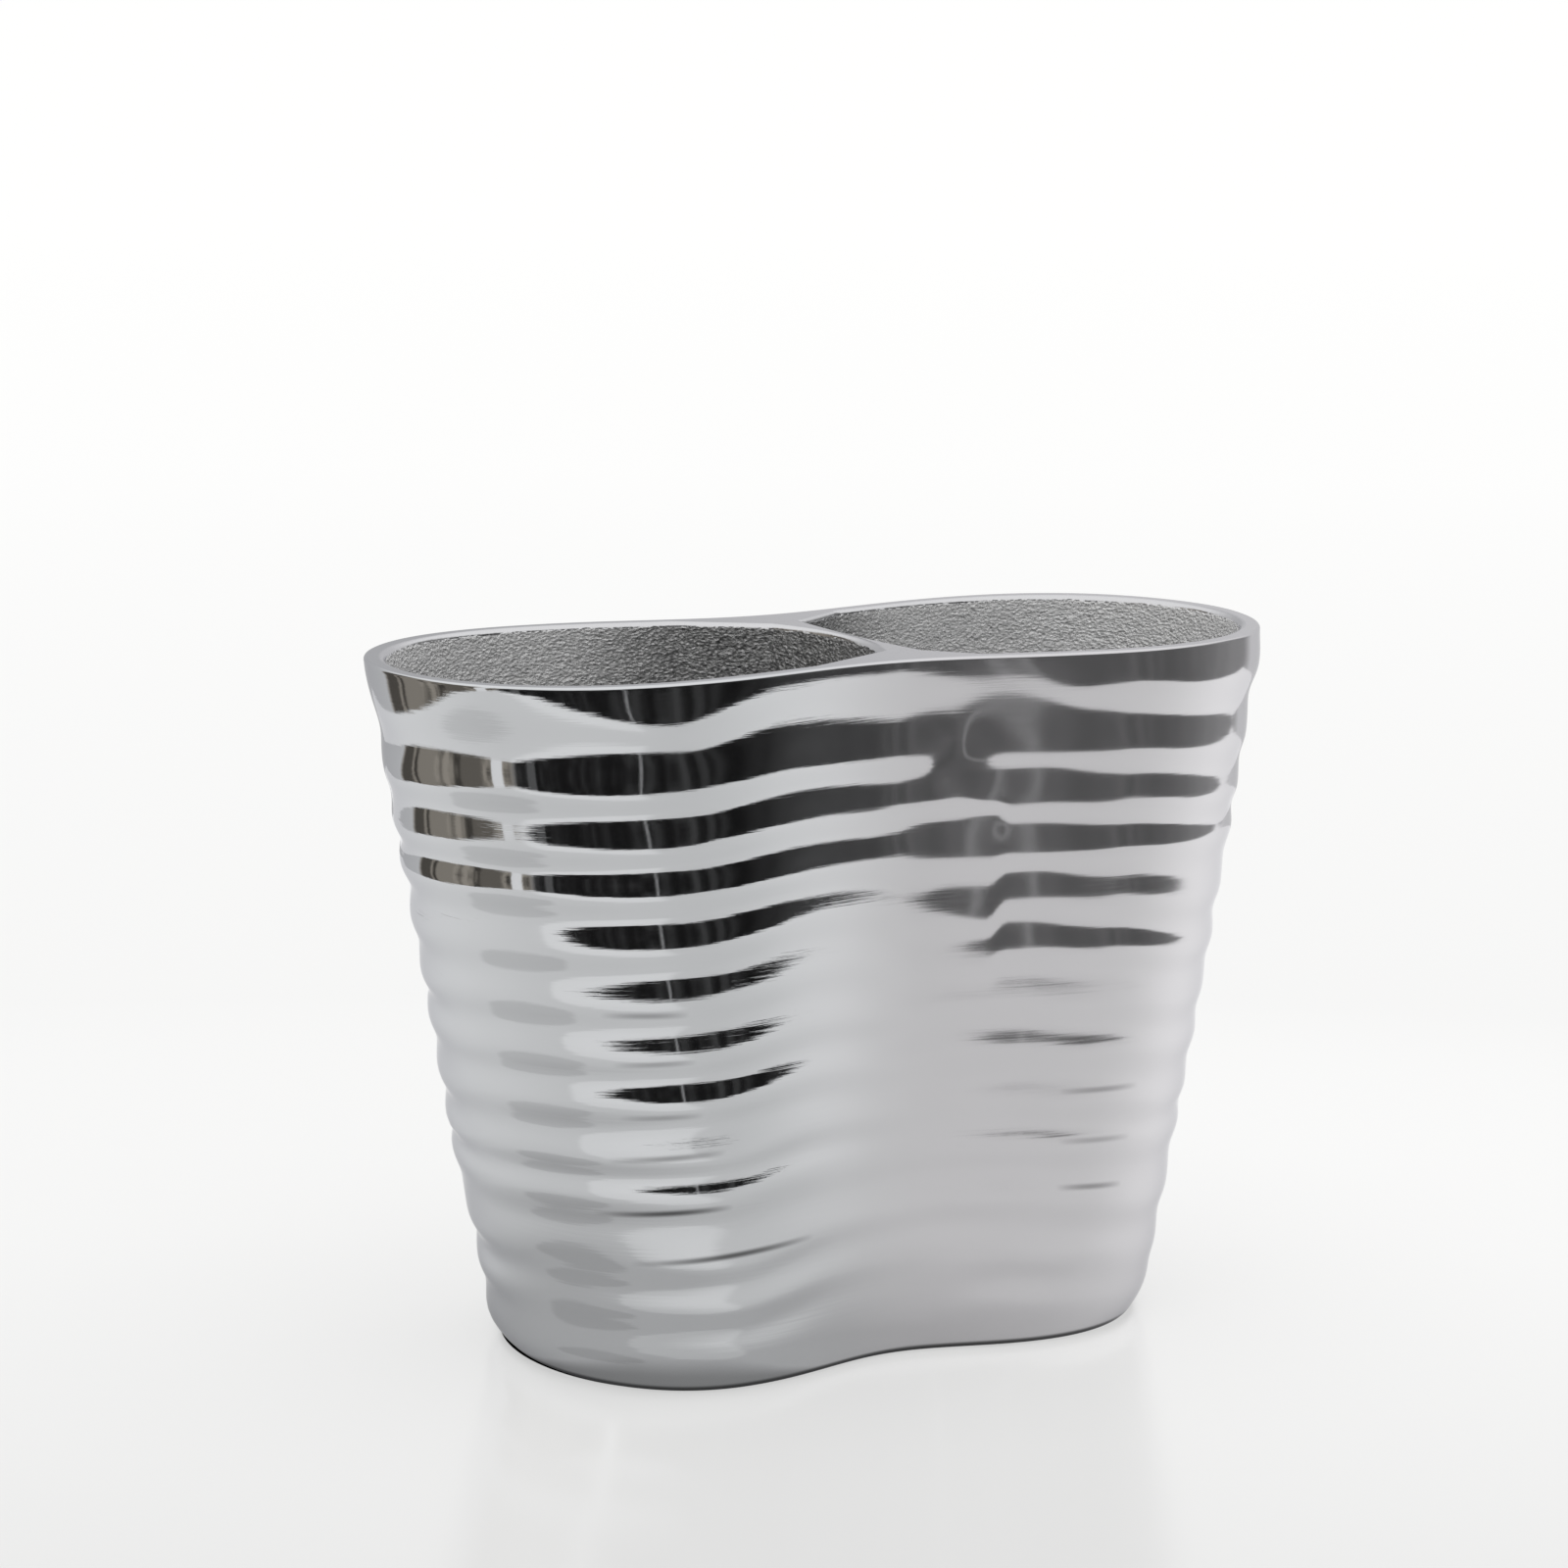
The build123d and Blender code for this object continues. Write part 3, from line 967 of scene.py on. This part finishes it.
def with_strips(n, value, azimuth, strips, core):
    """A value with upright strips over it; core is the share of their width that is at full strength."""
    for where, width, level in strips:
        away = n.maths("ABSOLUTE", n.minus(azimuth, where))
        value = n.blend(n.ramp(away, width, width * core), value, level)
    return value


def mirrored_studio(n, azimuth, elevation):
    """The colour of the studio in mirror reflections."""
    low = n.ramp(elevation, *ROOM_TOP)
    dark = n.times(sector(n, azimuth, DARK_SIDE), low)
    brown = n.times(sector(n, azimuth, BROWN_SIDE), low)
    folds = n.add("ShaderNodeCombineXYZ", {"X": azimuth, "Y": n.times(elevation, 0.25)}).outputs[0]
    room = n.noise(folds, 0.16, 4.0)
    room_value = with_strips(n, n.ramp(room, 0.4, 0.75, *ROOM_RANGE), azimuth, DARK_STRIPS, 0.6)
    first, last, light = RIGHT_LIGHT
    room_value = n.maths("ADD", room_value, n.ramp(azimuth, first, last, 0.0, light))
    brown_value = with_strips(n, n.ramp(room, 0.35, 0.65, *BROWN_RANGE), azimuth, BROWN_STRIPS, 0.7)
    from_back = n.minus(180.0, n.maths("ABSOLUTE", azimuth))
    low_back = n.blend(n.ramp(from_back, *LOW_BACK[0]), *LOW_BACK[1])
    value = n.blend(n.ramp(elevation, *HIGH_BACK[0]), HIGH_BACK[1], low_back)
    value = n.blend(brown, value, brown_value)
    value = n.blend(dark, value, room_value)
    brownness = n.times(brown, n.ramp(value, 0.6, 0.4))
    red = n.times(value, n.maths("MULTIPLY_ADD", brownness, 0.10, 1.0))
    blue = n.times(value, n.maths("MULTIPLY_ADD", brownness, -0.14, 1.0))
    return n.add("ShaderNodeCombineColor", {0: red, 1: value, 2: blue}).outputs[0]


def make_world():
    """Plain and pale to the camera and to soft light, with the studio in mirror reflections only.

    That studio is white, with a dark room on the camera side from the table's edge up to the lights.
    """
    world = bpy.data.worlds.new("studio")
    bpy.context.scene.world = world
    n = Nodes(world)
    axes = n.axes(n.add("ShaderNodeTexCoord").outputs["Generated"])
    colour = mirrored_studio(n, n.azimuth(axes["X"], axes["Y"]), n.elevation(axes["Z"]))
    mirror = n.add("ShaderNodeBackground", {"Color": colour})
    path = n.add("ShaderNodeLightPath").outputs
    even = n.blend(path["Is Camera Ray"], AMBIENT, 1.0)
    plain = n.add("ShaderNodeBackground", {"Color": grey(1.0), "Strength": even})
    seen = n.add("ShaderNodeMixShader", {0: n.in_mirror(path), 1: plain.outputs[0], 2: mirror.outputs[0]})
    n.add("ShaderNodeOutputWorld", {"Surface": seen.outputs[0]})


def make_lights():
    """One very broad soft light from above and in front, which no mirror shows."""
    data = bpy.data.lights.new("overhead", "SUN")
    data.angle = math.radians(SUN_SPREAD)
    toward = Vector(SUN_FROM).normalized()
    data.energy = math.pi * (1 - AMBIENT) / toward.z
    lamp = bpy.data.objects.new("overhead", data)
    lamp.rotation_euler = toward.to_track_quat("Z", "Y").to_euler()
    lamp.visible_glossy = False
    bpy.context.scene.collection.objects.link(lamp)


# ================================================================ table
TABLE_HALF = 60.0          # metres: the plane runs on to a white horizon
TABLE_TINT = (1.002, 1.002, 0.996)
TABLE_ROUGHNESS = 0.18
# Painted light: how pale the table is at a distance from the camera, in metres, paler far off.
TABLE_SPAN = 6.0
TABLE_FADE = (
    (0.90, 0.775), (1.05, 0.835), (1.22, 0.89), (1.50, 0.93), (2.0, 0.95), (3.0, 0.985), (5.5, 1.0),
)
TABLE_GLOSS = (1.05, 1.5, 0.3)     # its gloss to the camera, fading between two distances, and its strength

# The white table ends this far from the bucket, out of the camera's view; only mirror reflections show it.
TABLE_FRONT = 0.60
TABLE_LEFT = 0.45
TABLE_RIGHT = 0.90
TABLE_BACK = 0.60

# The bucket's own soft shade on the table, as the metal mirrors it: an oval about this point, in metres,
# with (distance in ovals, level) stops.
SHADE_MIDDLE = (-0.060, -0.030)
SHADE_SIZE = (0.075, 0.060)
SHADE_SPAN = 8.0
SHADE_FADE = ((1.0, 0.66), (2.0, 0.88), (3.2, 0.95), (6.0, 1.0))

# How bright the mirrored table is round the bucket: azimuths in degrees, and levels there.
MIRROR_LEVEL = (-30, 20, 0.97, 0.90)
RIGHT_GAIN = (30, 85, 0.26)
# A painted light patch and a painted shade patch, as ovals in the mirrored table: middle and half size, as
# the heading of a ray and its steepness in degrees, the squared distances where the oval ends and is full,
# and its strength.
BRIGHT_OVAL = ((-20, 15), (44, 11), (1.12, 0.85), 0.17)
BRIGHT_LEFT_OF = (20, -30)         # millimetres: the bright one fades out between these
DARK_OVAL = ((-88, 38), (34, 9), (1.15, 0.75), -0.15)


def table_oval(n, heading, steepness, middle, size, edge):
    """1 inside an oval of ray directions."""
    squares = []
    for value, centre, half in zip((heading, steepness), middle, size):
        share = n.maths("MULTIPLY_ADD", value, 1 / half, -centre / half)
        squares.append(n.maths("POWER", n.maths("ABSOLUTE", share), 2.0))
    return n.ramp(n.maths("ADD", *squares), *edge)


def mirrored_table(n, place, incoming):
    """How bright the table is in mirror reflections, as a colour to multiply by."""
    scale = (1 / SHADE_SIZE[0], 1 / SHADE_SIZE[1], 1)
    shift = (-SHADE_MIDDLE[0] / SHADE_SIZE[0], -SHADE_MIDDLE[1] / SHADE_SIZE[1], 0.0)
    ovals_away = n.add("ShaderNodeVectorMath", {0: n.stretch(place, scale, shift)}, operation="LENGTH")
    shade = n.greys(ovals_away.outputs["Value"], SHADE_SPAN, SHADE_FADE)
    axes = n.axes(place)
    azimuth = n.azimuth(axes["X"], axes["Y"])
    back_along = n.axes(incoming)
    heading = n.azimuth(n.times(back_along["X"], -1.0), n.times(back_along["Y"], -1.0))
    steepness = n.elevation(back_along["Z"])
    gain = n.ramp(azimuth, *MIRROR_LEVEL)
    *oval, dark_strength = DARK_OVAL
    gain = n.maths("MULTIPLY_ADD", table_oval(n, heading, steepness, *oval), dark_strength, gain)
    *oval, bright_strength = BRIGHT_OVAL
    bright = table_oval(n, heading, steepness, *oval)
    bright = n.times(bright, n.ramp_mm(axes["X"], BRIGHT_LEFT_OF))
    gain = n.maths("MULTIPLY_ADD", bright, bright_strength, gain)
    first, last, more = RIGHT_GAIN
    gain = n.maths("ADD", gain, n.ramp(azimuth, first, last, 0.0, more))
    lit = n.add("ShaderNodeCombineColor", {0: gain, 1: gain, 2: gain}).outputs[0]
    return n.mix(1.0, shade, lit, "MULTIPLY")


def past_the_edge(n, place):
    """1 where the mirrored table has ended."""
    right = Vector((math.cos(VIEW_AZIMUTH), math.sin(VIEW_AZIMUTH), 0.0))
    front = Vector((math.sin(VIEW_AZIMUTH), -math.cos(VIEW_AZIMUTH), 0.0))
    sides = ((front, TABLE_FRONT), (-right, TABLE_LEFT), (right, TABLE_RIGHT), (-front, TABLE_BACK))
    off = 0.0
    for direction, reach in sides:
        along = n.add("ShaderNodeVectorMath", {0: place, 1: direction}, operation="DOT_PRODUCT")
        off = n.maths("MAXIMUM", off, n.maths("GREATER_THAN", along.outputs["Value"], reach))
    return off


def table_material():
    """Pale and faintly glossy, with painted light that pales it to white with distance; in mirror reflections
    it ends.
    """
    material = bpy.data.materials.new("table")
    n = Nodes(material)
    distance = n.add("ShaderNodeCameraData").outputs["View Distance"]
    path = n.add("ShaderNodeLightPath").outputs
    geometry = n.add("ShaderNodeNewGeometry").outputs
    in_mirror = n.in_mirror(path)
    near, far, level = TABLE_GLOSS
    gloss = n.times(n.ramp(distance, near, far, level, 0.0), path["Is Camera Ray"])
    colour = n.greys(distance, TABLE_SPAN, TABLE_FADE, TABLE_TINT)
    mirrored = mirrored_table(n, geometry["Position"], geometry["Incoming"])
    colour = n.mix(1.0, colour, n.mix(in_mirror, grey(1.0), mirrored), "MULTIPLY")
    shader = n.add(
        "ShaderNodeBsdfPrincipled",
        {
            "Base Color": n.mix(TABLE_GLOW, colour, grey(0.0)),
            "Roughness": TABLE_ROUGHNESS,
            "Specular IOR Level": gloss,
            "Emission Color": colour,
            "Emission Strength": TABLE_GLOW,
        },
    )
    gone = n.times(past_the_edge(n, geometry["Position"]), in_mirror)
    clear = n.add("ShaderNodeBsdfTransparent")
    surface = n.add("ShaderNodeMixShader", {0: gone, 1: shader.outputs[0], 2: clear.outputs[0]})
    n.add("ShaderNodeOutputMaterial", {"Surface": surface.outputs[0]})
    return material


def make_table():
    """The table top, a plane under the bucket."""
    mesh = bpy.data.meshes.new("table")
    corners = [
        (-TABLE_HALF, -TABLE_HALF, 0),
        (TABLE_HALF, -TABLE_HALF, 0),
        (TABLE_HALF, TABLE_HALF, 0),
        (-TABLE_HALF, TABLE_HALF, 0),
    ]
    mesh.from_pydata(corners, [], [(0, 1, 2, 3)])
    mesh.materials.append(table_material())
    table = bpy.data.objects.new("table", mesh)
    bpy.context.scene.collection.objects.link(table)


# ================================================================ build
polished = polished_aluminium()
cast = cast_aluminium()
ground = ground_aluminium()
rubber = pad_rubber()

body = make_body([polished, cast, ground])
divider = make_divider([polished, cast])
for piece in (body, divider):
    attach(piece, "root")

for name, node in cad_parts.items():
    if name.startswith("foot_pad"):
        node.data.materials.clear()
        node.data.materials.append(rubber)

make_camera()
make_world()
make_table()
make_lights()
bpy.context.scene.view_settings.view_transform = "Standard"
